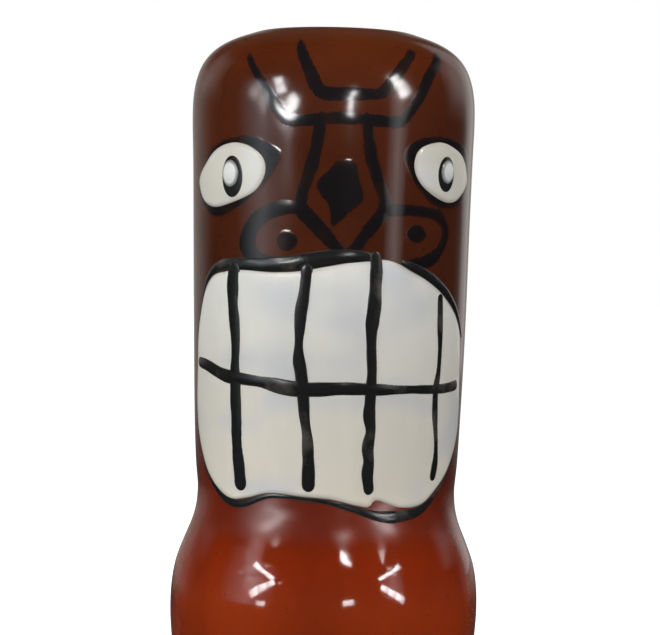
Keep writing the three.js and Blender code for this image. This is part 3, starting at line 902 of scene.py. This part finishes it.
def make_world():
    """White to the camera and soft grey as a light. The glaze mirrors it dark, but grey behind the mug."""
    world = bpy.data.worlds.new("studio")
    world.use_nodes = True
    tree = world.node_tree
    background = tree.nodes["Background"]
    direction = add_node(tree, "ShaderNodeTexCoord").outputs["Generated"]
    backdrop = add_node(tree, "ShaderNodeVectorMath", [("Vector", direction)])
    backdrop.operation = "DOT_PRODUCT"
    backdrop.inputs[1].default_value = (0, 0.998, 0.06)
    wall = add_ramp(tree, backdrop.outputs["Value"], [
        (0.45, (0.02, 0.02, 0.022)),
        (0.88, (0.38, 0.355, 0.33)),
    ])
    up = add_node(tree, "ShaderNodeSeparateXYZ", [("Vector", direction)]).outputs["Z"]
    rise = add_node(tree, "ShaderNodeMapRange", [("Value", up)], From_Min=-0.12, From_Max=0.48)
    reach = add_ramp(tree, rise.outputs["Result"], [(0.0, 0.12), (0.18, 1.0), (0.45, 1.0), (0.9, 0.12)])
    mirrored = add_product(tree, wall, reach)
    path = add_node(tree, "ShaderNodeLightPath").outputs
    soft = add_mix(tree, path["Is Glossy Ray"], (0.44, 0.44, 0.44), mirrored)
    tree.links.new(add_mix(tree, path["Is Camera Ray"], soft, (1.0, 1.0, 1.0)), background.inputs["Color"])
    bpy.context.scene.world = world


def add_bar(name, start, end, width, radiance, zone, pieces=1):
    """A row of short gridded lamps from start to end, which light only their zone of the mug."""
    ends = np.linspace(start, end, pieces + 1)
    for i in range(pieces):
        add_lamp(f"{name}_{i + 1}", ends[i], ends[i + 1], width, radiance, *zone)


def add_soft_panel(name, angle, heights, reaches, radiance, colour=(1.0, 1.0, 1.0), fade=0.0):
    """A panel that fades towards its sides: panels of different reach in degrees, one behind another.

    It also fades towards its ends if each panel is shorter by a fade in metres at either end."""
    low, high = heights
    for i, reach in enumerate(reaches):
        away = PANEL_DISTANCE + PANEL_STEP * i
        width = 2 * away * math.tan(math.radians(reach))
        ends = (angle, away, low + fade * i), (angle, away, high - fade * i)
        panel = add_lamp(f"{name}_{i + 1}", *ends, width, radiance / len(reaches))
        panel.data.color = colour


def make_lights():
    """Bar lamps in front, dim panels all round, and soft fill that the glaze doesn't mirror."""
    add_bar("belly_left_upper", (-61, 0.4, 0.245), (-42, 0.4, 0.150), 0.026, 34, BELLY_ZONE, 3)
    add_bar("belly_left_lower", (-41, 0.4, 0.133), (-58, 0.4, 0.066), 0.028, 30, BELLY_ZONE, 3)
    add_bar("belly_left_haze", (-57, 0.43, 0.060), (-70, 0.43, 0.350), 0.165, 2.6, BELLY_ZONE, 3)
    add_bar("belly_left_dash_upper", (-53, 0.4, 0.340), (-47, 0.4, 0.330), 0.014, 24, BELLY_ZONE)
    add_bar("belly_left_dash_lower", (-53, 0.4, 0.040), (-46, 0.4, 0.040), 0.016, 22, BELLY_ZONE)
    add_bar("belly_right_upper", (57, 0.4, 0.240), (36, 0.4, 0.159), 0.024, 34, BELLY_ZONE, 3)
    add_bar("belly_right_lower", (37, 0.4, 0.115), (54, 0.4, 0.052), 0.026, 34, BELLY_ZONE, 3)
    add_bar("belly_middle_upper", (8, 0.4, 0.320), (17, 0.4, 0.285), 0.020, 34, BELLY_ZONE)
    add_bar("belly_middle_lower", (8, 0.4, 0.051), (16, 0.4, 0.058), 0.020, 27, BELLY_ZONE)
    add_bar("dome_left_upper", (-53, 0.6, 0.434), (-46, 0.6, 0.278), 0.075, 28, DOME_ZONE, 2)
    add_bar("dome_left_middle", (-40, 0.6, 0.262), (-34, 0.6, 0.195), 0.090, 34, DOME_ZONE)
    add_bar("dome_left_lower", (-52, 0.6, 0.205), (-38, 0.6, 0.175), 0.040, 50, DOME_ZONE)
    add_bar("dome_left_haze", (-76, 0.6, 0.310), (-58, 0.6, 0.225), 0.120, 6, DOME_ZONE, 2)
    add_bar("dome_middle", (12, 0.6, 0.331), (8, 0.6, 0.185), 0.042, 30, DOME_ZONE, 2)
    add_bar("dome_right", (46, 0.6, 0.500), (55, 0.6, 0.270), 0.125, 32, DOME_ZONE, 3)
    cool = (0.82, 0.93, 1.0)
    add_soft_panel("left_panel", -63, (0.02, 0.40), (22, 17, 13, 9, 6, 3), 1.4, cool)
    add_soft_panel("right_panel", 48, (0.08, 0.30), (8, 5, 2), 1.8)
    add_soft_panel("right_rim_panel", 142, (0.02, 0.65), (14, 11, 8), 0.45)
    add_soft_panel("right_dome_panel", 118, (0.16, 0.62), (20, 16, 12, 8, 4), 0.65, fade=0.035)
    add_soft_panel("left_dome_panel", -128, (0.20, 0.62), (18, 14, 10, 6), 0.40, fade=0.035)
    fills = (
        add_lamp("ceiling_fill", (-20, 0.9, 1.1), (160, 0.7, 1.1), 1.4, 0.5),
        add_lamp("front_fill", (-95, 1.2, 0.5), (15, 1.2, 0.5), 0.8, 0.6),
    )
    for fill in fills:
        fill.visible_glossy = False


make_camera()
make_floor()
make_world()
make_lights()
bpy.context.scene.view_settings.view_transform = "Standard"
